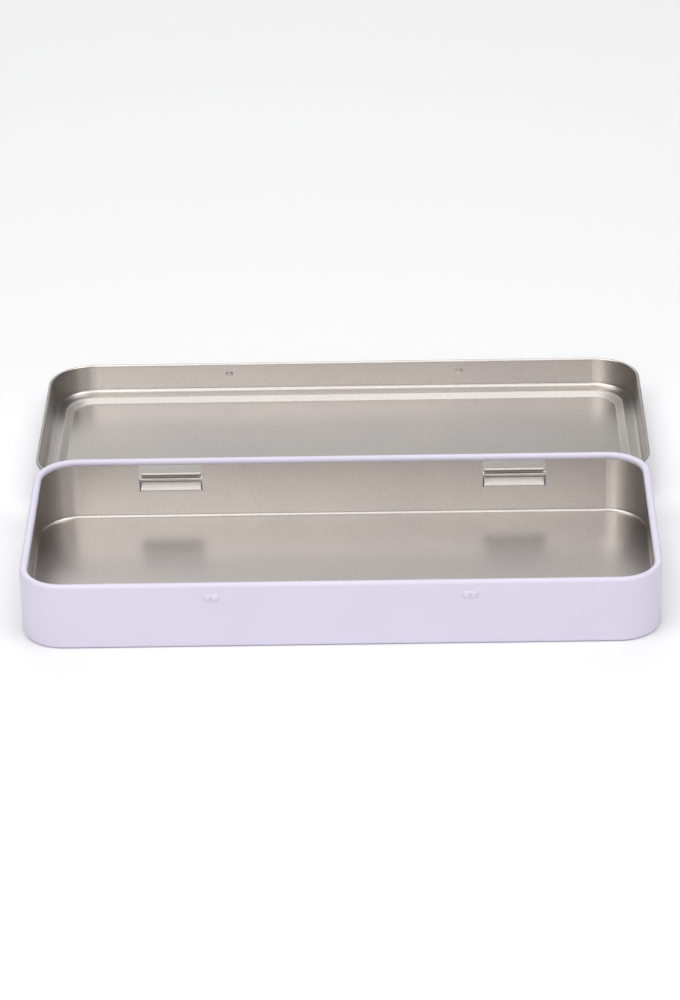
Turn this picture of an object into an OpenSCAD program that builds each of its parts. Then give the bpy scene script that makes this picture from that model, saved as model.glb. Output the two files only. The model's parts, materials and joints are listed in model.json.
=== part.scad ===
// Flat pencil tin pressed from thin sheet: a drawn tray with a curled rim, and a shallow lid
// that hangs on two wire-pin hinges. It lies open, with the lid on its back behind the tray.
// +X runs to the right along the tin, the front of the tray faces -Y, and +Z is up.
// The origin is the middle of the tray's underside.

/* [Tray] */
// Length of the tray over its walls
base_l = 190; // [160:1:230]
// Width of the tray over its walls
base_w = 82; // [60:1:120]
// Height of the tray to the top of its rim
base_h = 21; // [19:0.5:30]
// Outside radius of the tray's upright corners
corner_r = 13; // [9:0.5:20]
// Thickness of the sheet that everything is pressed from
sheet = 0.3; // [0.25:0.05:0.35]
// Outside radius of the edge round the underside
foot_r = 1.2; // [0.8:0.1:2]
// Width of the rolled rim, measured in from the wall's outside
curl_w = 2.4; // [2.2:0.1:3]
// Height of the rolled rim
curl_h = 2; // [1.6:0.1:2.2]
// Gap between the tucked end of the rolled rim and the wall
curl_gap = 0.3; // [0.2:0.05:0.4]

/* [Lid] */
// Gap between the lid's skirt and the tray's wall
lid_fit = 0.6; // [0.6:0.05:0.8]
// Gap between the closed lid's ledge and the top of the rim
lid_seat = 0.1; // [0.05:0.05:0.2]
// Inside depth of the skirt, from its edge to the ledge
lid_reach = 9.6; // [9:0.1:12]
// Outside radius of the edge between skirt and ledge
lid_edge_r = 1.6; // [0.8:0.1:2]
// Width of the ledge, from the skirt's outside to the start of the step
ledge_w = 4.4; // [3.4:0.1:6]
// Height of the step between the ledge and the middle panel
step_h = 1.4; // [0.8:0.1:1.6]
// Width of the step, both its bends included
step_run = 2.5; // [1.5:0.1:3]
// Radius of the step's two bends, in mid sheet
step_bend_r = 0.6; // [0.5:0.05:0.65]
// Outside diameter of the plain curl round the skirt's edge
hem_d = 1.2; // [0.9:0.05:1.5]

/* [Hinges] */
// Distance from the end of the tray to the middle of each hinge
hinge_inset = 41.5; // [34:0.5:50]
// Diameter of the wire pin
pin_d = 1.2; // [1:0.05:1.4]
// Radial play of the pin in the rolled knuckles
pin_play = 0.05; // [0.03:0.01:0.08]
// How far the pin stands out past the lid's knuckles
pin_out = 0.2; // [0.1:0.05:0.25]
// Chamfer at the pin's ends
pin_chamfer = 0.15; // [0.05:0.05:0.2]
// Width of the tray's hook that is rolled round the pin
hook_w = 18.4; // [12:0.2:22]
// Inside radius of the hook's loop, at the bottom of which the pin lies
loop_r = 1.3; // [0.9:0.05:1.4]
// Turn at which the hook's loop stops, counted from straight back
hook_end = 124; // [110:2:160]
// How far the hook leaves the wall below the pin's axis
hook_drop = 3.25; // [2.2:0.05:3.6]
// Radius of the hook's bend at the wall, in mid sheet
hook_bend_r = 0.6; // [0.4:0.1:0.8]
// Height of the slanted cut at the hook's two lower ends
mitre_h = 1.4; // [0.8:0.1:1.6]
// Width of the slanted cut at each end
mitre_w = 0.3; // [0.1:0.05:1.6]
// Slit between the foot of the hook and the window's end
slit = 0.3; // [0.1:0.05:0.5]
// Wall left between the window and the rolled rim
window_land = 0.4; // [0.2:0.1:1]
// Width of each of the lid's knuckles
knuckle_w = 3.5; // [2.5:0.1:5]
// Side gap between the hook and each knuckle
knuckle_gap = 0.15; // [0.1:0.05:0.3]
// Turn of sheet in each of the lid's knuckles
knuckle_turn = 300; // [290:5:300]
// Gap between a knuckle and the end of the plain curl
hem_gap = 0.4; // [0.35:0.05:0.8]
// Clearance of the lid's notch past the hook's loop
notch_over = 0.3; // [0.2:0.05:0.6]

/* [Catch] */
// Distance from the end of the tray to the middle of each catch
catch_inset = 57; // [45:1:70]
// Depth of the tray's catch below the top of the rim
catch_drop = 4.4; // [4:0.1:6]
// Length of the tray's catch
catch_l = 5.1; // [4:0.1:7]
// Height of the tray's catch
catch_h = 2.7; // [2:0.1:3]
// How far the tray's catch stands out
catch_out = 0.3; // [0.2:0.05:0.3]
// Diameter of the lid's catch
dimple_d = 2.4; // [2:0.1:3]
// How far the lid's catch stands in
dimple_in = 0.15; // [0.1:0.05:0.15]
// Height of the lid's catch over the skirt's edge
dimple_rise = 3.8; // [3:0.1:4]

/* [Hidden] */
$fn = 96;
// Reach of cutting shapes past the faces that they cut
over = 1;
// Overlap of a straight strip with the curved ones at its ends, so that they join
lap = 0.02;

// Lid, lying with its edge up and the middle panel's outside at height 0
lid_h = lid_reach + sheet + step_h;
skirt_out = lid_fit + sheet;
lid_l = base_l + 2 * skirt_out;
lid_w = base_w + 2 * skirt_out;
lid_r = corner_r + skirt_out;
panel_in = ledge_w + step_run;
// The step is a straight slope between two equal bends
step_from = [ledge_w, step_h + sheet / 2 - step_bend_r];
step_to = [panel_in, sheet / 2 + step_bend_r];
step_gap = step_to - step_from;
step_turn = atan2(step_gap.x, step_gap.y) - acos(2 * step_bend_r / norm(step_gap));

// Hinge axis: the closed lid's edge, its knuckles and the pin share it
bore_r = pin_d / 2 + pin_play;
knuckle_r = bore_r + sheet;
knuckle_mid = bore_r + sheet / 2;
hinge_x = base_l / 2 - hinge_inset;
hinge_y = base_w / 2 + lid_fit + knuckle_r;
hinge_z = base_h + lid_seat - lid_reach + knuckle_r;
knuckle_x = hook_w / 2 + knuckle_gap;
pin_l = 2 * (knuckle_x + knuckle_w + pin_out);

// Hook, in the plane of Y and Z: bend at the wall, straight tongue, then the loop
loop_mid = loop_r + sheet / 2;
loop_at = [hinge_y, hinge_z + loop_r - bore_r];
window_w = hook_w + 2 * (mitre_w + slit);
window_z = hinge_z - hook_drop;
window_top = base_h - curl_h - window_land;
bend_at = [base_w / 2 - sheet / 2 + hook_bend_r, window_z];
bend_to_loop = loop_at - bend_at;
hook_lean = 180 - atan2(bend_to_loop.y, bend_to_loop.x)
  - acos((loop_mid + hook_bend_r) / norm(bend_to_loop));

// Same axis in the lying lid, and the fall of the lid's far side until it rests on the table
pin_y = -lid_w / 2 + sheet - knuckle_r;
pin_z = lid_h - knuckle_r;
rest_r = step_bend_r + sheet / 2;
rest_y = lid_w / 2 - panel_in - pin_y;
rest_z = pin_z - rest_r;
lid_fall = asin((hinge_z - rest_r) / norm([rest_y, rest_z])) - atan2(rest_z, rest_y);

catch_x = base_l / 2 - catch_inset;

echo(lid_fall = lid_fall, hinge_y = hinge_y, hinge_z = hinge_z);

// Rounded rectangle
module plan(l, w, r) {
  square([l - 2 * r, w], center = true);
  square([l, w - 2 * r], center = true);
  for (x = [-1, 1], y = [-1, 1])
    translate([x * (l / 2 - r), y * (w / 2 - r)]) circle(r);
}

// Curved strip of sheet about a centre, between two angles
module sheet_arc(centre, mid_r, from, to) {
  far = 2 * mid_r + sheet;
  translate(centre) intersection() {
    difference() {
      circle(mid_r + sheet / 2);
      circle(mid_r - sheet / 2);
    }
    polygon([[0, 0], for (i = [0:4]) let (a = from + (to - from) * i / 4) far * [cos(a), sin(a)]]);
  }
}

// Straight strip of sheet between two points
module sheet_line(p, q) {
  run = q - p;
  translate(p) rotate(atan2(run.y, run.x)) translate([-lap, -sheet / 2])
    square([norm(run) + 2 * lap, sheet]);
}

// Carries a flat shape drawn in Y and Z along X, over a width centred on x
module across(x, w) {
  translate([x - w / 2, 0, 0]) rotate([90, 0, 90]) linear_extrude(w) children();
}

// Carries a wall section round a rounded rectangle: its x runs inward from the plan's edge
module round_wall(l, w, r) {
  for (turn = [0, 180]) rotate(turn) translate([0, -w / 2, 0]) across(0, l - 2 * r) children();
  for (turn = [90, 270]) rotate(turn) translate([0, -l / 2, 0]) across(0, w - 2 * r) children();
  for (c = [[1, 1, 0], [-1, 1, 90], [-1, -1, 180], [1, -1, 270]])
    translate([c.x * (l / 2 - r), c.y * (w / 2 - r), 0]) rotate(c.z)
      rotate_extrude(angle = 90) translate([r, 0]) mirror([1, 0]) children();
}

// Long low swelling: two balls of radius r, joined by a bar, half_l each way
module swelling(r, half_l) {
  for (x = [-half_l, half_l]) translate([x, 0, 0]) sphere(r);
  rotate([0, 90, 0]) cylinder(r = r, h = 2 * half_l, center = true);
}

// Radius of a ball whose cap has this half height and stands out this far
function cap_r(half, out) = (half * half + out * out) / (2 * out);

// Wall section of the tray: edge of the underside, wall and rolled rim
module tray_section() {
  curl_r = curl_h / 2;
  lip = sheet + curl_gap;
  sheet_arc([foot_r, foot_r], foot_r - sheet / 2, 180, 270);
  translate([0, foot_r]) square([sheet, base_h - curl_r - foot_r]);
  sheet_arc([curl_r, base_h - curl_r], curl_r - sheet / 2, 90, 180);
  translate([curl_r, base_h - sheet]) square([curl_w - curl_h, sheet]);
  sheet_arc([curl_w - curl_r, base_h - curl_r], curl_r - sheet / 2, -90, 90);
  translate([lip, base_h - curl_h]) square([curl_w - curl_r - lip, sheet]);
}

// Hook of one hinge: tongue cut from the window, bent back and looped loosely round the pin
module hook(x) {
  down = [cos(hook_lean), -sin(hook_lean)];
  foot_w = hook_w + 2 * mitre_w;
  mitre_z = window_z + mitre_h;
  top_z = loop_at.y + loop_r + sheet + over;
  intersection() {
    across(x, foot_w) {
      sheet_line(bend_at - [hook_bend_r, over], bend_at - [hook_bend_r, 0]);
      sheet_arc(bend_at, hook_bend_r, 180 - hook_lean, 180);
      sheet_line(bend_at - hook_bend_r * down, loop_at + loop_mid * down);
      sheet_arc(loop_at, loop_mid, -hook_lean, hook_end);
    }
    translate([x, hinge_y + loop_r + sheet + over, 0]) rotate([90, 0, 0])
      linear_extrude(base_w / 2) polygon([
        [-foot_w / 2, window_z - over], [foot_w / 2, window_z - over], [foot_w / 2, window_z],
        [hook_w / 2, mitre_z], [hook_w / 2, top_z], [-hook_w / 2, top_z],
        [-hook_w / 2, mitre_z], [-foot_w / 2, window_z]
      ]);
  }
}

// One catch swelling of the tray, shrunk by the sheet for its hollow back
module tray_catch(x, inset) {
  ball_r = cap_r(catch_h / 2, catch_out);
  wall_y = -base_w / 2;
  intersection() {
    translate([x, wall_y - catch_out + ball_r, base_h - catch_drop])
      swelling(ball_r - inset, (catch_l - catch_h) / 2);
    translate([x - catch_l, wall_y - over, base_h - catch_drop - catch_h])
      cube([2 * catch_l, over + (inset > 0 ? sheet : sheet / 2), 2 * catch_h]);
  }
}

// One catch dimple of the lying lid, shrunk by the sheet for its hollow back
module lid_catch(x, inset) {
  ball_r = cap_r(dimple_d / 2, dimple_in);
  inner_y = lid_w / 2 - sheet;
  intersection() {
    translate([x, inner_y - dimple_in + ball_r, lid_h - dimple_rise]) sphere(ball_r - inset);
    translate([x - dimple_d, inner_y - over, lid_h - dimple_rise - dimple_d])
      cube([2 * dimple_d, over + (inset > 0 ? sheet : sheet / 2), 2 * dimple_d]);
  }
}

module base_tray() {
  color("lavender") difference() {
    union() {
      difference() {
        union() {
          linear_extrude(sheet) plan(base_l - 2 * foot_r, base_w - 2 * foot_r, corner_r - foot_r);
          round_wall(base_l, base_w, corner_r) tray_section();
        }
        for (x = [-hinge_x, hinge_x])
          translate([x - window_w / 2, base_w / 2 - sheet - over, window_z])
            cube([window_w, sheet + 2 * over, window_top - window_z]);
      }
      for (x = [-hinge_x, hinge_x]) hook(x);
      for (x = [-catch_x, catch_x]) tray_catch(x, 0);
    }
    for (x = [-catch_x, catch_x]) tray_catch(x, sheet);
  }
}

// Wall section of the lying lid: curl at the edge, skirt, ledge and step
module lid_section() {
  hem_mid = hem_d / 2 - sheet / 2;
  hem_at = [sheet - hem_d / 2, lid_h - hem_d / 2];
  up = [sin(step_turn), cos(step_turn)];
  difference() {
    translate(hem_at) circle(hem_d / 2);
    translate(hem_at) circle(hem_mid - sheet / 2);
  }
  translate([0, step_h + lid_edge_r]) square([sheet, hem_at.y - step_h - lid_edge_r]);
  sheet_arc([lid_edge_r, step_h + lid_edge_r], lid_edge_r - sheet / 2, 180, 270);
  translate([lid_edge_r, step_h]) square([ledge_w - lid_edge_r, sheet]);
  sheet_arc(step_from, step_bend_r, 90 - step_turn, 90);
  sheet_line(step_from + step_bend_r * up, step_to - step_bend_r * up);
  sheet_arc(step_to, step_bend_r, 270 - step_turn, 270);
}

// Clears the skirt's edge at one hinge: the curl, then the notch for the hook
module lid_hinge_cut(x) {
  half = knuckle_x + knuckle_w + hem_gap;
  notch_h = knuckle_r + 2 * loop_r - bore_r + sheet + notch_over;
  translate([x - half, -lid_w / 2 - hem_d, lid_h - hem_d - over])
    cube([2 * half, hem_d, hem_d + 2 * over]);
  translate([x - half, -lid_w / 2 - hem_d, pin_z]) cube([2 * half, 2 * hem_d, knuckle_r + over]);
  translate([x - knuckle_x, -lid_w / 2 - hem_d, lid_h - notch_h])
    cube([2 * knuckle_x, 2 * hem_d, notch_h + over]);
}

module lid() {
  difference() {
    union() {
      difference() {
        union() {
          linear_extrude(sheet)
            plan(lid_l - 2 * panel_in, lid_w - 2 * panel_in, lid_r - panel_in);
          round_wall(lid_l, lid_w, lid_r) lid_section();
        }
        for (x = [-hinge_x, hinge_x]) lid_hinge_cut(x);
      }
      for (x = [-hinge_x, hinge_x], side = [-1, 1])
        across(x + side * (knuckle_x + knuckle_w / 2), knuckle_w)
          sheet_arc([pin_y, pin_z], knuckle_mid, 0, knuckle_turn);
      for (x = [-catch_x, catch_x]) lid_catch(x, 0);
    }
    for (x = [-catch_x, catch_x]) lid_catch(x, sheet);
  }
}

// The lid turned about the hinge axis until its panel's far edge rests on the table
module lid_shell() {
  color("silver") translate([0, hinge_y, hinge_z]) rotate([-lid_fall, 0, 0])
    translate([0, -pin_y, -pin_z]) lid();
}

module hinge_pin(x) {
  color("gray") translate([x - pin_l / 2, hinge_y, hinge_z]) rotate([0, 90, 0]) {
    cylinder(d1 = pin_d - 2 * pin_chamfer, d2 = pin_d, h = pin_chamfer);
    translate([0, 0, pin_chamfer]) cylinder(d = pin_d, h = pin_l - 2 * pin_chamfer);
    translate([0, 0, pin_l - pin_chamfer])
      cylinder(d1 = pin_d, d2 = pin_d - 2 * pin_chamfer, h = pin_chamfer);
  }
}

module hinge_pin_left() { hinge_pin(-hinge_x); }
module hinge_pin_right() { hinge_pin(hinge_x); }

base_tray();
lid_shell();
hinge_pin_left();
hinge_pin_right();
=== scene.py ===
"""Open pencil tin: finishes for its pressed sheets and hinge wires, and the studio round it."""

import json
import math

import bmesh
import bpy
from bpy.props import FloatProperty, FloatVectorProperty, PointerProperty
from mathutils import Euler, Matrix, Vector


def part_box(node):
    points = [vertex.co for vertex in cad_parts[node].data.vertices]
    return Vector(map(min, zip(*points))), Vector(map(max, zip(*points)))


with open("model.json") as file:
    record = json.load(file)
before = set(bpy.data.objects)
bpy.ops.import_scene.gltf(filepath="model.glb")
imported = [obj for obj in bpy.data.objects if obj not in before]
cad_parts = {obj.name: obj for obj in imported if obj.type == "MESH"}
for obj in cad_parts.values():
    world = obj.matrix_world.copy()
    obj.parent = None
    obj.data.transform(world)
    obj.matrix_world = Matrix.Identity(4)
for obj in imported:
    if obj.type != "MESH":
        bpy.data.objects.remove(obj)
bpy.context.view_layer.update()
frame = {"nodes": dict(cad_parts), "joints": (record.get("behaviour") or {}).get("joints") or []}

TRAY_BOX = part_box("base_tray")
HINGE = frame["joints"][0]

bl_info = {
    "name": "Pencil Tin",
    "version": (1, 0, 0),
    "blender": (4, 5, 0),
    "location": "3D View > Sidebar > Pencil Tin",
    "description": "Dresses a hinged pencil tin and builds a soft studio round it",
    "category": "Object",
}

MM = 0.001
EDGE = 0.02 * MM  # half the width of the soft edge between two finishes
CLEAR = 0.05 * MM  # how far outside the lid's skirt its curl and knuckles are told from it


# Sizes and colours


def length(name, description, default_mm, smallest=0.0):
    """A size in metres that the sidebar shows as a distance."""
    return FloatProperty(
        name=name,
        description=description,
        default=default_mm * MM,
        min=smallest,
        precision=5,
        subtype="DISTANCE",
        unit="LENGTH",
    )


def colour(name, description, default):
    return FloatVectorProperty(
        name=name,
        description=description,
        default=default,
        size=3,
        min=0.0,
        max=1.0,
        subtype="COLOR",
    )


def share(name, description, default, largest=1.0):
    return FloatProperty(
        name=name, description=description, default=default, min=0.0, max=largest
    )


def watts(name, description, default):
    return FloatProperty(
        name=name, description=description, default=default, min=0.0, unit="POWER"
    )


def turn(name, description, default_deg):
    return FloatProperty(
        name=name,
        description=description,
        default=math.radians(default_deg),
        subtype="ANGLE",
        unit="ROTATION",
    )


class SheetSizes(bpy.types.PropertyGroup):
    """Where the pressed sheets bend, which is where enamel gives way to bare tinplate."""

    thickness: length("Sheet", "Thickness of the sheet", 0.3)
    tray_corner: length(
        "Tray Corner", "Outside radius of the tray's upright corners", 13
    )
    foot: length("Foot", "Outside radius round the tray's underside", 1.2)
    rim: length("Rim", "Height of the tray's rolled rim", 2)
    catch_x: length("Catch Place", "Distance of each catch from the middle", 38)
    catch_drop: length("Catch Drop", "Depth of the tray's catch below the rim", 4.4)
    catch_length: length("Catch Length", "Length of the tray's catch", 5.1)
    catch_height: length("Catch Height", "Height of the tray's catch", 2.7)
    catch_out: length("Catch Swell", "How far the tray's catch stands out", 0.3)
    hook_x: length("Hook Place", "Distance of each hook from the middle", 53.5)
    window_width: length("Window Width", "Width of the opening that a hook fills", 19.6)
    window_foot: length("Window Foot", "Height of the opening's lower edge", 9.2)
    lid_over: length("Lid Over", "How far the lid's skirt stands outside the tray", 0.9)
    lid_height: length("Lid Height", "Height of the lid", 11.3)
    hem: length("Hem", "Diameter of the curl round the lid's edge", 1.2)
    knuckle: length("Knuckle", "Outside radius of the lid's knuckles", 0.95)
    lid_edge: length("Lid Edge", "Outside radius between the lid's skirt and ledge", 1.6)
    ledge: length("Ledge", "Width of the lid's ledge", 4.4)
    step_run: length("Step Run", "Width of the lid's step", 2.5)
    step_height: length("Step Height", "Height of the lid's step", 1.4)
    dimple: length("Dimple", "Diameter of the lid's catch dimples", 2.4)
    dimple_in: length("Dimple Depth", "How far the lid's dimples stand in", 0.15)
    dimple_rise: length("Dimple Rise", "Height of the dimples over the lid's edge", 3.8)
    lid_fall: turn(
        "Lid Fall", "Fall of the open lid's far side to the table", 1.55433
    )


class Finishes(bpy.types.PropertyGroup):
    """Colours and surface character of the enamel, the tinplate and the wire."""

    enamel: colour("Enamel", "Satin enamel outside", (0.767, 0.733, 0.870))
    enamel_deep: colour(
        "Enamel Shade", "Enamel where its coat is a little thicker", (0.745, 0.708, 0.85)
    )
    enamel_rough: share("Enamel Roughness", "Roughness of the satin enamel", 0.36)
    peel: length("Enamel Ripple", "Width of the faint ripples in the enamel", 1.6)
    tinplate: colour("Tinplate", "Bare stone-finish tinplate", (0.64, 0.603, 0.573))
    tinplate_cool: colour(
        "Tinplate Shade", "Cooler patches in the tinplate", (0.61, 0.579, 0.56)
    )
    tinplate_rough: share("Tinplate Roughness", "Roughness of the tinplate", 0.30)
    bent_rough: share("Bend Roughness", "Roughness of tinplate that is bent hard", 0.46)
    grain: length("Grain", "Width of the specks of the stone finish", 0.7)
    wave: length("Wave", "Width of the slow waves that pressing leaves", 34)
    crispness: share("Catch Crispness", "Relief that light adds to the catches", 1.0)
    mark: length("Punch Mark", "Radius of the punch's mark in a catch", 0.8)
    mark_depth: length("Punch Depth", "Depth of the punch's mark", 0.1)
    wire: colour("Wire", "Drawn steel wire of the hinge pins", (0.72, 0.69, 0.66))
    wire_rough: share("Wire Roughness", "Roughness of the wire", 0.38)


class Studio(bpy.types.PropertyGroup):
    """Floor, lights and camera."""

    floor: colour("Floor", "Plain pale floor", (0.95, 0.95, 0.955))
    world: share("Room Light", "Even light of the dim room", 0.05, 4.0)
    softbox: length("Softbox", "Side of each square softbox", 750)
    reach: length("Softbox Distance", "From the tin to each softbox", 1400)
    front: watts("Front", "Softbox behind the camera", 3.3)
    front_sides: watts("Front Sides", "Each softbox beside the camera", 1.3)
    back: watts("Back", "Softbox behind the tin", 1.15)
    back_sides: watts("Back Sides", "Each softbox beside the one behind", 1.3)
    high_front: watts("High Front", "Softbox high in front", 1.8)
    high_sides: watts("High Sides", "Each softbox high at a side", 5.6)
    high_back: watts("High Back", "Softbox high behind the tin", 3.6)
    overhead: watts("Overhead", "Softbox straight above", 2.1)
    distance: length("Camera Distance", "From the camera to the aim point", 1197.06)
    focal: FloatProperty(
        name="Focal Length",
        description="Focal length in millimetres for a 36 mm frame",
        default=142.636,
        unit="CAMERA",
    )
    down: turn("Look Down", "Angle of the camera's view below level", 27.9739)
    swing: turn("Swing", "Turn of the camera's view to the left", 0.94233)
    roll: turn("Roll", "Turn of the camera about its view", -1.24723)


class PencilTin(bpy.types.PropertyGroup):
    sheet: PointerProperty(type=SheetSizes)
    finish: PointerProperty(type=Finishes)
    studio: PointerProperty(type=Studio)


# Node building


def put(tree, kind, wires=None, **settings):
    """A new node with its settings made, and its sockets linked or given values."""
    node = tree.nodes.new(kind)
    for key, value in settings.items():
        setattr(node, key, value)
    for key, value in (wires or {}).items():
        if isinstance(value, bpy.types.NodeSocket):
            tree.links.new(value, node.inputs[key])
        else:
            node.inputs[key].default_value = value
    return node


def calc(tree, operation, *terms, clamp=False):
    """One Math node, and its result."""
    wires = dict(enumerate(terms))
    node = put(tree, "ShaderNodeMath", wires, operation=operation, use_clamp=clamp)
    return node.outputs[0]


def longer(tree, a, b):
    """Length of the hypotenuse over two sides."""
    squares = calc(
        tree, "ADD", calc(tree, "MULTIPLY", a, a), calc(tree, "MULTIPLY", b, b)
    )
    return calc(tree, "SQRT", squares)


def ramp(tree, value, start, end, low=0.0, high=1.0, smooth=True):
    """Value carried from one range to another, held at both ends."""
    wires = {
        "Value": value,
        "From Min": start,
        "From Max": end,
        "To Min": low,
        "To Max": high,
    }
    kind = "SMOOTHSTEP" if smooth else "LINEAR"
    node = put(tree, "ShaderNodeMapRange", wires, interpolation_type=kind)
    return node.outputs["Result"]


def over(tree, value, limit, soft=EDGE):
    """1 where value is past limit, 0 before it, with a narrow soft edge."""
    return ramp(tree, value, limit - soft, limit + soft, smooth=False)


def under(tree, value, limit, soft=EDGE):
    """1 where value is short of limit, 0 past it."""
    return ramp(tree, value, limit - soft, limit + soft, 1.0, 0.0, smooth=False)


def either(tree, a, b):
    return calc(tree, "MAXIMUM", a, b)


def both(tree, a, b):
    return calc(tree, "MULTIPLY", a, b)


def blend_colours(tree, factor, a, b):
    """Plain mix of two colours or sockets."""
    wires = {0: factor, 6: a, 7: b}
    node = put(
        tree, "ShaderNodeMix", wires, data_type="RGBA", blend_type="MIX", clamp_factor=True
    )
    return node.outputs[2]


def blend_values(tree, factor, a, b):
    """Plain mix of two numbers or sockets."""
    wires = {0: factor, 2: a, 3: b}
    return put(tree, "ShaderNodeMix", wires, data_type="FLOAT").outputs[0]


def noise(tree, vector, width, detail, rough=0.5):
    """Even noise whose features are about as wide as width, a number or a socket."""
    linked = isinstance(width, bpy.types.NodeSocket)
    wires = {
        "Vector": vector,
        "Scale": calc(tree, "DIVIDE", 1.0, width) if linked else 1.0 / width,
        "Detail": detail,
        "Roughness": rough,
    }
    return put(tree, "ShaderNodeTexNoise", wires).outputs[0]


def opaque(rgb):
    return (*rgb, 1.0)


def new_group(name, inputs, outputs):
    """An empty node group with named sockets, and its two end nodes."""
    tree = bpy.data.node_groups.new(name, "ShaderNodeTree")
    for socket, kind in inputs:
        tree.interface.new_socket(socket, in_out="INPUT", socket_type=kind)
    for socket, kind in outputs:
        tree.interface.new_socket(socket, in_out="OUTPUT", socket_type=kind)
    return tree, tree.nodes.new("NodeGroupInput"), tree.nodes.new("NodeGroupOutput")


FLOAT, VECTOR = "NodeSocketFloat", "NodeSocketVector"


def tidy_nodes(tree):
    """Lays the nodes out in columns, each to the right of what feeds it."""
    column = {node: 0 for node in tree.nodes}
    for _ in range(len(tree.nodes)):
        for link in tree.links:
            after = column[link.from_node] + 1
            column[link.to_node] = max(column[link.to_node], after)
    filled = {}
    for node in tree.nodes:
        row = filled.get(column[node], 0)
        filled[column[node]] = row + 1
        node.location = (220 * column[node], -190 * row)


# Shared effects

# Height of each relief, as a share of the width of its own features
GRAIN_RELIEF = 0.0025
WAVE_RELIEF = 0.004
RIPPLE_RELIEF = 0.004
# Width of the enamel's thicker patches, as a multiple of its ripple's width
DRIFT_WIDTH = 1 / 0.06


def sheet_skin_group():
    """Depth of a point below the outer skin of a pressed shell, from its place alone."""
    name = "Sheet Skin"
    if name in bpy.data.node_groups:
        return bpy.data.node_groups[name]
    sizes = (
        "Half Length",
        "Half Width",
        "Corner",
        "Foot",
        "Ledge",
        "Step Run",
        "Step Height",
    )
    tree, start, end = new_group(
        name,
        [("Vector", VECTOR)] + [(size, FLOAT) for size in sizes],
        [("Skin", FLOAT), ("Inset", FLOAT)],
    )
    size = start.outputs
    place = put(tree, "ShaderNodeSeparateXYZ", {0: size["Vector"]}).outputs

    def past(axis, half):
        straight = calc(tree, "SUBTRACT", size[half], size["Corner"])
        return calc(tree, "SUBTRACT", calc(tree, "ABSOLUTE", place[axis]), straight)

    def rounded(a, b):
        corner = longer(
            tree, calc(tree, "MAXIMUM", a, 0.0), calc(tree, "MAXIMUM", b, 0.0)
        )
        side = calc(tree, "MINIMUM", calc(tree, "MAXIMUM", a, b), 0.0)
        return calc(tree, "ADD", corner, side)

    reach = rounded(past("X", "Half Length"), past("Y", "Half Width"))
    inset = calc(tree, "SUBTRACT", size["Corner"], reach)
    stepped = ramp(
        tree,
        inset,
        size["Ledge"],
        calc(tree, "ADD", size["Ledge"], size["Step Run"]),
        size["Step Height"],
        0.0,
    )
    height = calc(tree, "SUBTRACT", place["Z"], stepped)
    bend = rounded(
        calc(tree, "SUBTRACT", size["Foot"], inset),
        calc(tree, "SUBTRACT", size["Foot"], height),
    )
    skin = calc(tree, "SUBTRACT", size["Foot"], bend)
    tree.links.new(skin, end.inputs["Skin"])
    tree.links.new(inset, end.inputs["Inset"])
    tidy_nodes(tree)
    return tree


def catch_group():
    """Height of the low swellings pressed into a wall, and the punch's mark in each."""
    name = "Catch Swelling"
    if name in bpy.data.node_groups:
        return bpy.data.node_groups[name]
    sizes = ("Place", "Height", "Half Bar", "Half Cap", "Out", "Mark")
    tree, start, end = new_group(
        name,
        [("Vector", VECTOR)] + [(size, FLOAT) for size in sizes],
        [("Swell", FLOAT), ("Mark", FLOAT)],
    )
    size = start.outputs
    place = put(tree, "ShaderNodeSeparateXYZ", {0: size["Vector"]}).outputs
    across = calc(tree, "SUBTRACT", calc(tree, "ABSOLUTE", place["X"]), size["Place"])
    past_bar = calc(
        tree, "SUBTRACT", calc(tree, "ABSOLUTE", across), size["Half Bar"]
    )
    above = calc(tree, "SUBTRACT", place["Z"], size["Height"])
    reach = calc(
        tree,
        "DIVIDE",
        longer(tree, calc(tree, "MAXIMUM", past_bar, 0.0), above),
        size["Half Cap"],
    )
    cap = calc(tree, "SUBTRACT", 1.0, calc(tree, "MULTIPLY", reach, reach), clamp=True)
    tree.links.new(calc(tree, "MULTIPLY", cap, size["Out"]), end.inputs["Swell"])
    mark = ramp(tree, longer(tree, across, above), 0.0, size["Mark"], 1.0, 0.0)
    tree.links.new(mark, end.inputs["Mark"])
    tidy_nodes(tree)
    return tree


def stone_grain_group():
    """Fine specks of stone-finish tinplate and the slow waves that pressing leaves."""
    name = "Stone Grain"
    if name in bpy.data.node_groups:
        return bpy.data.node_groups[name]
    tree, start, end = new_group(
        name,
        [("Vector", VECTOR), ("Grain", FLOAT), ("Wave", FLOAT)],
        [("Speck", FLOAT), ("Cloud", FLOAT), ("Height", FLOAT)],
    )
    size = start.outputs
    fine = noise(tree, size["Vector"], size["Grain"], 1.0)
    slow = noise(tree, size["Vector"], size["Wave"], 1.0, 0.4)
    speck = ramp(tree, fine, 0.3, 0.7)
    cloud = ramp(tree, slow, 0.35, 0.65)
    grain_height = both(tree, fine, both(tree, size["Grain"], GRAIN_RELIEF))
    wave_height = both(tree, slow, both(tree, size["Wave"], WAVE_RELIEF))
    tree.links.new(speck, end.inputs["Speck"])
    tree.links.new(cloud, end.inputs["Cloud"])
    tree.links.new(calc(tree, "ADD", grain_height, wave_height), end.inputs["Height"])
    tidy_nodes(tree)
    return tree


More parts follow.
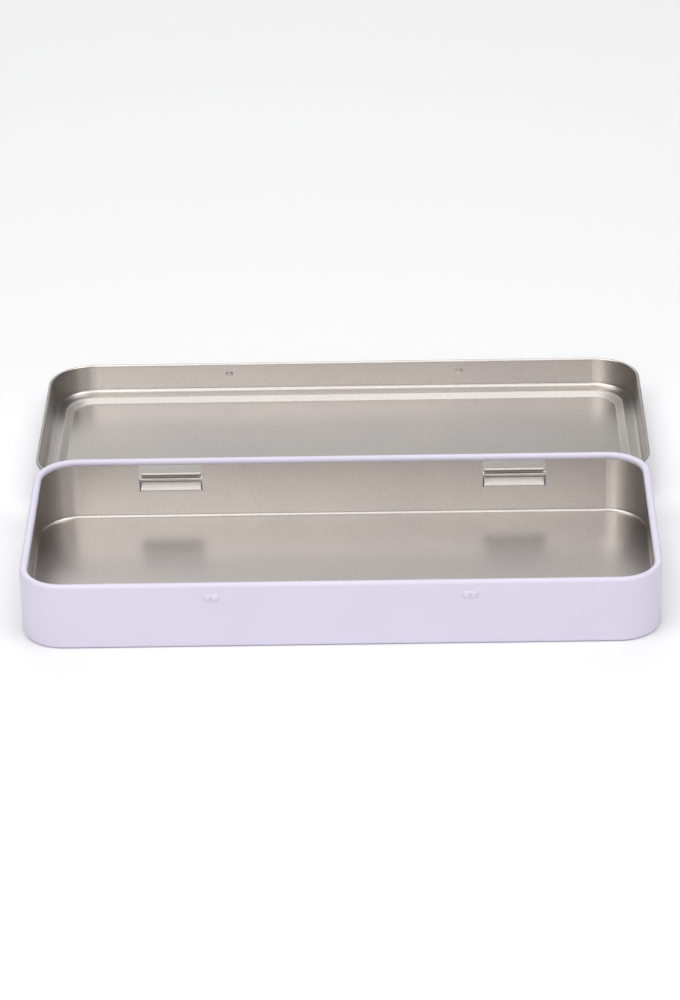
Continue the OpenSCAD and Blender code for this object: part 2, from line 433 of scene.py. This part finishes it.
def enamel_group():
    """Ripple of a stoved satin enamel, and where its coat is a little thicker."""
    name = "Enamel Coat"
    if name in bpy.data.node_groups:
        return bpy.data.node_groups[name]
    tree, start, end = new_group(
        name,
        [("Vector", VECTOR), ("Ripple", FLOAT)],
        [("Thick", FLOAT), ("Height", FLOAT)],
    )
    size = start.outputs
    ripple = noise(tree, size["Vector"], size["Ripple"], 2.0)
    drift = noise(tree, size["Vector"], both(tree, size["Ripple"], DRIFT_WIDTH), 2.0)
    thick = ramp(tree, drift, 0.35, 0.65)
    height = both(tree, ripple, both(tree, size["Ripple"], RIPPLE_RELIEF))
    tree.links.new(thick, end.inputs["Thick"])
    tree.links.new(height, end.inputs["Height"])
    tidy_nodes(tree)
    return tree


def use_group(tree, group, wires):
    return put(tree, "ShaderNodeGroup", wires, node_tree=group).outputs


def new_material(name):
    """A material with only its Principled shader and output, and the place of each point."""
    material = bpy.data.materials.new(name)
    material.use_nodes = True
    tree = material.node_tree
    tree.nodes.clear()
    shader = tree.nodes.new("ShaderNodeBsdfPrincipled")
    output = tree.nodes.new("ShaderNodeOutputMaterial")
    tree.links.new(shader.outputs[0], output.inputs["Surface"])
    place = tree.nodes.new("ShaderNodeTexCoord").outputs["Object"]
    return material, tree, shader, place


# How much of the second colour shows where its mask is full
CLOUD_SHARE = 0.7
SPECK_SHARE = 0.22
THICK_SHARE = 0.5
# Share of painted shade that darkens the colour in a punch's dent
MARK_PAINTED_SHADE_SHARE = 0.4
# How much light a speck of the grain keeps, and how much light the painted shade in a punch's
# dent keeps
SPECK_SHADE = 0.7
MARK_PAINTED_SHADE = 0.5


def two_faced(tree, shader, place, bare, bent, catch, wall, finish):
    """Enamel where bare is 0 and tinplate where it is 1, duller where bent, with catches and
    painted shade in the punch's dents.
    """
    mark = both(tree, catch["Mark"], wall)
    relief = calc(
        tree,
        "SUBTRACT",
        calc(tree, "MULTIPLY", both(tree, catch["Swell"], wall), finish.crispness),
        calc(tree, "MULTIPLY", mark, finish.mark_depth),
    )
    grain = use_group(
        tree,
        stone_grain_group(),
        {"Vector": place, "Grain": finish.grain, "Wave": finish.wave},
    )
    coat = use_group(tree, enamel_group(), {"Vector": place, "Ripple": finish.peel})
    metal = blend_colours(
        tree,
        calc(tree, "MULTIPLY", grain["Cloud"], CLOUD_SHARE),
        opaque(finish.tinplate),
        opaque(finish.tinplate_cool),
    )
    metal = blend_colours(
        tree,
        ramp(tree, grain["Speck"], 0.0, 1.0, 0.0, SPECK_SHARE),
        metal,
        opaque(Vector(finish.tinplate) * SPECK_SHADE),
    )
    paint = blend_colours(
        tree,
        calc(tree, "MULTIPLY", coat["Thick"], THICK_SHARE),
        opaque(finish.enamel),
        opaque(finish.enamel_deep),
    )
    sheet = blend_colours(tree, bare, paint, metal)
    # Painted shade: the colour is darkened in each punch's dent, on top of the dent's real
    # relief in the bump
    tree.links.new(
        blend_colours(
            tree,
            calc(tree, "MULTIPLY", mark, MARK_PAINTED_SHADE_SHARE),
            sheet,
            opaque(Vector(finish.enamel_deep) * MARK_PAINTED_SHADE),
        ),
        shader.inputs["Base Color"],
    )
    tree.links.new(bare, shader.inputs["Metallic"])
    metal_rough = ramp(
        tree,
        grain["Speck"],
        0.0,
        1.0,
        finish.tinplate_rough - 0.01,
        finish.tinplate_rough + 0.02,
    )
    metal_rough = blend_values(tree, bent, metal_rough, finish.bent_rough)
    paint_rough = ramp(
        tree,
        coat["Thick"],
        0.0,
        1.0,
        finish.enamel_rough - 0.02,
        finish.enamel_rough + 0.03,
    )
    tree.links.new(
        blend_values(tree, bare, paint_rough, metal_rough), shader.inputs["Roughness"]
    )
    height = calc(
        tree, "ADD", relief, blend_values(tree, bare, coat["Height"], grain["Height"])
    )
    bump = put(
        tree, "ShaderNodeBump", {"Height": height, "Strength": 1.0, "Distance": 1.0}
    )
    tree.links.new(bump.outputs[0], shader.inputs["Normal"])


def tray_material(tin):
    """Enamel outside and on the rim, tinplate inside and on the two hooks."""
    sheet, finish = tin.sheet, tin.finish
    material, tree, shader, place = new_material("tray_sheet_metal")
    half_length = TRAY_BOX[1].x
    half_width = -TRAY_BOX[0].y - sheet.catch_out
    top = TRAY_BOX[1].z
    skin = use_group(
        tree,
        sheet_skin_group(),
        {
            "Vector": place,
            "Half Length": half_length,
            "Half Width": half_width,
            "Corner": sheet.tray_corner,
            "Foot": sheet.foot,
            "Ledge": sheet.ledge,
            "Step Run": sheet.step_run,
            "Step Height": 0.0,
        },
    )
    catch = use_group(
        tree,
        catch_group(),
        {
            "Vector": place,
            "Place": sheet.catch_x,
            "Height": top - sheet.catch_drop,
            "Half Bar": (sheet.catch_length - sheet.catch_height) / 2,
            "Half Cap": sheet.catch_height / 2,
            "Out": sheet.catch_out,
            "Mark": finish.mark,
        },
    )
    at = put(tree, "ShaderNodeSeparateXYZ", {0: place}).outputs
    to_front = calc(tree, "MULTIPLY", at["Y"], -1.0)
    in_front = over(tree, to_front, half_width - sheet.foot)
    depth = calc(tree, "ADD", skin["Skin"], both(tree, catch["Swell"], in_front))
    inside = over(tree, depth, sheet.thickness / 2)
    below_rim = under(tree, at["Z"], top - sheet.rim - 2 * EDGE)
    from_hook = calc(
        tree,
        "ABSOLUTE",
        calc(tree, "SUBTRACT", calc(tree, "ABSOLUTE", at["X"]), sheet.hook_x),
    )
    wall_inside = half_width - 1.2 * sheet.thickness
    hook = both(
        tree,
        under(tree, from_hook, sheet.window_width / 2),
        both(
            tree,
            over(tree, at["Z"], sheet.window_foot),
            over(tree, at["Y"], wall_inside),
        ),
    )
    bare = both(tree, below_rim, either(tree, inside, hook))
    two_faced(tree, shader, place, bare, hook, catch, in_front, finish)
    tidy_nodes(tree)
    return material


def lid_material(tin):
    """Tinplate inside, on the curled edge and on the knuckles, enamel on the rest."""
    sheet, finish = tin.sheet, tin.finish
    material, tree, shader, place = new_material("lid_sheet_metal")
    half_length = TRAY_BOX[1].x + sheet.lid_over
    half_width = -TRAY_BOX[0].y - sheet.catch_out + sheet.lid_over
    pin = Vector(
        (
            0,
            -half_width + sheet.thickness - sheet.knuckle,
            sheet.lid_height - sheet.knuckle,
        )
    )
    level = Euler((sheet.lid_fall, 0, 0))
    shift = pin - level.to_matrix() @ Vector(HINGE["pos_m"])
    lying = put(
        tree,
        "ShaderNodeMapping",
        {"Vector": place, "Location": shift, "Rotation": level},
        vector_type="POINT",
    ).outputs[0]
    skin = use_group(
        tree,
        sheet_skin_group(),
        {
            "Vector": lying,
            "Half Length": half_length,
            "Half Width": half_width,
            "Corner": sheet.tray_corner + sheet.lid_over,
            "Foot": sheet.lid_edge,
            "Ledge": sheet.ledge,
            "Step Run": sheet.step_run,
            "Step Height": sheet.step_height,
        },
    )
    dimple = use_group(
        tree,
        catch_group(),
        {
            "Vector": lying,
            "Place": sheet.catch_x,
            "Height": sheet.lid_height - sheet.dimple_rise,
            "Half Bar": 0.0,
            "Half Cap": sheet.dimple / 2,
            "Out": sheet.dimple_in,
            "Mark": finish.mark,
        },
    )
    at = put(tree, "ShaderNodeSeparateXYZ", {0: lying}).outputs
    far = over(tree, at["Y"], half_width - sheet.lid_edge)
    depth = calc(tree, "SUBTRACT", skin["Skin"], both(tree, dimple["Swell"], far))
    inside = over(tree, depth, sheet.thickness / 2)
    curl = over(tree, at["Z"], sheet.lid_height - sheet.hem)
    outside = over(tree, calc(tree, "MULTIPLY", skin["Inset"], -1.0), CLEAR)
    bare = either(tree, inside, either(tree, curl, outside))
    step = both(
        tree,
        over(tree, skin["Inset"], sheet.ledge),
        under(tree, skin["Inset"], sheet.ledge + sheet.step_run),
    )
    two_faced(tree, shader, place, bare, step, dimple, far, finish)
    tidy_nodes(tree)
    return material


# Draw marks: their scale along the wire, their width across it and their depth
DRAW_STRETCH = 0.04
DRAW_WIDTH = MM / 6
DRAW_DEPTH = 0.004 * MM


def wire_material(tin):
    """Drawn steel wire: long faint draw marks along it."""
    finish = tin.finish
    material, tree, shader, place = new_material("hinge_wire_metal")
    drawn = put(
        tree,
        "ShaderNodeMapping",
        {"Vector": place, "Scale": (DRAW_STRETCH, 1.0, 1.0)},
        vector_type="POINT",
    ).outputs[0]
    marks = noise(tree, drawn, DRAW_WIDTH, 2.0)
    tree.links.new(
        blend_colours(
            tree,
            ramp(tree, marks, 0.35, 0.65, 0.0, 0.5),
            opaque(finish.wire),
            opaque(Vector(finish.wire) * 0.7),
        ),
        shader.inputs["Base Color"],
    )
    tree.links.new(
        ramp(tree, marks, 0.3, 0.7, finish.wire_rough, finish.wire_rough + 0.1),
        shader.inputs["Roughness"],
    )
    bump = put(
        tree,
        "ShaderNodeBump",
        {
            "Height": calc(tree, "MULTIPLY", marks, DRAW_DEPTH),
            "Strength": 1.0,
            "Distance": 1.0,
        },
    )
    tree.links.new(bump.outputs[0], shader.inputs["Normal"])
    shader.inputs["Metallic"].default_value = 1.0
    tidy_nodes(tree)
    return material


# Pieces


def dress(node_name, material):
    """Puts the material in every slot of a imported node."""
    node = frame["nodes"][node_name]
    if not node.material_slots:
        raise RuntimeError(f"{node_name} has no material slot to dress")
    for slot in node.material_slots:
        slot.material = material


class TIN_OT_dress_tray(bpy.types.Operator):
    """Give the tray its satin enamel outside and its bare tinplate inside"""

    bl_idname = "pencil_tin.dress_tray"
    bl_label = "Dress Tray"

    def execute(self, context):
        dress("base_tray", tray_material(context.scene.pencil_tin))
        return {"FINISHED"}


class TIN_OT_dress_lid(bpy.types.Operator):
    """Give the lid its bare tinplate inside and its satin enamel outside"""

    bl_idname = "pencil_tin.dress_lid"
    bl_label = "Dress Lid"

    def execute(self, context):
        dress("lid_shell", lid_material(context.scene.pencil_tin))
        return {"FINISHED"}


class TIN_OT_dress_pins(bpy.types.Operator):
    """Give the two hinge pins their drawn steel"""

    bl_idname = "pencil_tin.dress_pins"
    bl_label = "Dress Hinge Pins"

    def execute(self, context):
        material = wire_material(context.scene.pencil_tin)
        for side in ("left", "right"):
            dress(f"hinge_pin_{side}", material)
        return {"FINISHED"}


# Stage

# What the camera looks at, and how far its view is slid to the right and up from there
AIM = Vector((0.0, -3.0, 9.5)) * MM
FRAME_SHIFT = Vector((0.5355, -16.673)) * MM
DOME_CENTRE = Vector((0.0, 40.0, 0.0)) * MM
FLOOR_SIZE = 6.0
FLOOR_CLOUD = 1 / 3
# Angles of the softboxes over the floor, and of the two that stand a little to the left
LOW, HIGH, ABOVE = 30, 60, 89.9
ASIDE = 8


def floor_material(studio):
    material, tree, shader, place = new_material("studio_floor_paper")
    cloud = noise(tree, place, FLOOR_CLOUD, 2.0)
    tree.links.new(
        blend_colours(
            tree,
            cloud,
            opaque(studio.floor),
            opaque(Vector(studio.floor) * 0.99),
        ),
        shader.inputs["Base Color"],
    )
    shader.inputs["Roughness"].default_value = 0.9
    shader.inputs["Specular IOR Level"].default_value = 0.1
    tidy_nodes(tree)
    return material


def make_floor(scene, studio):
    mesh = bpy.data.meshes.new("studio_floor")
    shape = bmesh.new()
    bmesh.ops.create_grid(shape, x_segments=1, y_segments=1, size=FLOOR_SIZE / 2)
    shape.to_mesh(mesh)
    shape.free()
    mesh.materials.append(floor_material(studio))
    floor = bpy.data.objects.new("studio_floor", mesh)
    scene.collection.objects.link(floor)


def softboxes(studio):
    """Name, turn from the front, height angle and power of each softbox."""
    rows = [
        ("front", -ASIDE, LOW, studio.front),
        ("back", ASIDE - 180, LOW, studio.back),
        ("high_front", 0, HIGH, studio.high_front),
        ("high_back", 180, HIGH, studio.high_back),
        ("overhead", 0, ABOVE, studio.overhead),
    ]
    for side, way in (("left", -1), ("right", 1)):
        rows += [
            (f"front_{side}", way * 30, LOW, studio.front_sides),
            (f"back_{side}", way * 150, LOW, studio.back_sides),
            (f"high_{side}", way * 60, HIGH, studio.high_sides),
        ]
    return rows


def make_softbox(scene, studio, name, turned, raised, power):
    """A square area light at a place on the dome round the tin, facing the tin."""
    turned, raised = math.radians(turned), math.radians(raised)
    away = Vector(
        (
            math.sin(turned) * math.cos(raised),
            -math.cos(turned) * math.cos(raised),
            math.sin(raised),
        )
    )
    light = bpy.data.lights.new(f"softbox_{name}", "AREA")
    light.shape = "SQUARE"
    light.size = studio.softbox
    light.energy = power
    lamp = bpy.data.objects.new(light.name, light)
    lamp.location = DOME_CENTRE + studio.reach * away
    lamp.rotation_euler = (-away).to_track_quat("-Z", "Y").to_euler()
    lamp.visible_camera = False
    scene.collection.objects.link(lamp)


def make_world(scene, studio):
    world = bpy.data.worlds.new("studio_room")
    world.use_nodes = True
    background = world.node_tree.nodes["Background"]
    background.inputs["Color"].default_value = (1.0, 1.0, 1.0, 1.0)
    background.inputs["Strength"].default_value = studio.world
    scene.world = world


def make_camera(scene, studio):
    """Long lens at the photograph's angle, turned a little left and rolled a little."""
    ahead = Vector((0, math.cos(studio.down), -math.sin(studio.down)))
    up = Vector((0, math.sin(studio.down), math.cos(studio.down)))
    swing = Matrix.Rotation(studio.swing, 3, "Z")
    ahead, right, up = swing @ ahead, swing @ Vector((1, 0, 0)), swing @ up
    roll = Matrix.Rotation(-studio.roll, 3, ahead)
    right, up = roll @ right, roll @ up
    data = bpy.data.cameras.new("studio_camera")
    data.lens = studio.focal
    data.clip_start, data.clip_end = 0.01, 20.0
    camera = bpy.data.objects.new("studio_camera", data)
    place = AIM - ahead * studio.distance - right * FRAME_SHIFT.x - up * FRAME_SHIFT.y
    turned = Matrix((right, up, -ahead)).transposed().to_4x4()
    camera.matrix_world = Matrix.Translation(place) @ turned
    scene.collection.objects.link(camera)
    scene.camera = camera


class TIN_OT_build_stage(bpy.types.Operator):
    """Build the pale floor, the soft lights and the camera"""

    bl_idname = "pencil_tin.build_stage"
    bl_label = "Build Stage"

    def execute(self, context):
        scene, studio = context.scene, context.scene.pencil_tin.studio
        scene.view_settings.view_transform = "Standard"
        make_floor(scene, studio)
        make_world(scene, studio)
        for row in softboxes(studio):
            make_softbox(scene, studio, *row)
        make_camera(scene, studio)
        return {"FINISHED"}


class TIN_PT_builder(bpy.types.Panel):
    """Sizes, colours and steps of the pencil tin"""

    bl_idname = "TIN_PT_builder"
    bl_label = "Pencil Tin"
    bl_space_type = "VIEW_3D"
    bl_region_type = "UI"
    bl_category = "Pencil Tin"

    def draw(self, context):
        layout = self.layout
        for step in STEPS:
            layout.operator(step.bl_idname)
        tin = context.scene.pencil_tin
        for title, group in (
            ("Sheet", tin.sheet),
            ("Finish", tin.finish),
            ("Studio", tin.studio),
        ):
            box = layout.box()
            box.label(text=title)
            for key in type(group).__annotations__:
                box.prop(group, key)


STEPS = (TIN_OT_dress_tray, TIN_OT_dress_lid, TIN_OT_dress_pins, TIN_OT_build_stage)
CLASSES = (SheetSizes, Finishes, Studio, PencilTin, *STEPS, TIN_PT_builder)


def register():
    for cls in CLASSES:
        bpy.utils.register_class(cls)
    bpy.types.Scene.pencil_tin = PointerProperty(type=PencilTin)


def unregister():
    del bpy.types.Scene.pencil_tin
    for cls in reversed(CLASSES):
        bpy.utils.unregister_class(cls)


def main():
    register()
    bpy.ops.pencil_tin.dress_tray()
    bpy.ops.pencil_tin.dress_lid()
    bpy.ops.pencil_tin.dress_pins()
    bpy.ops.pencil_tin.build_stage()


if __name__ == "__main__":
    main()
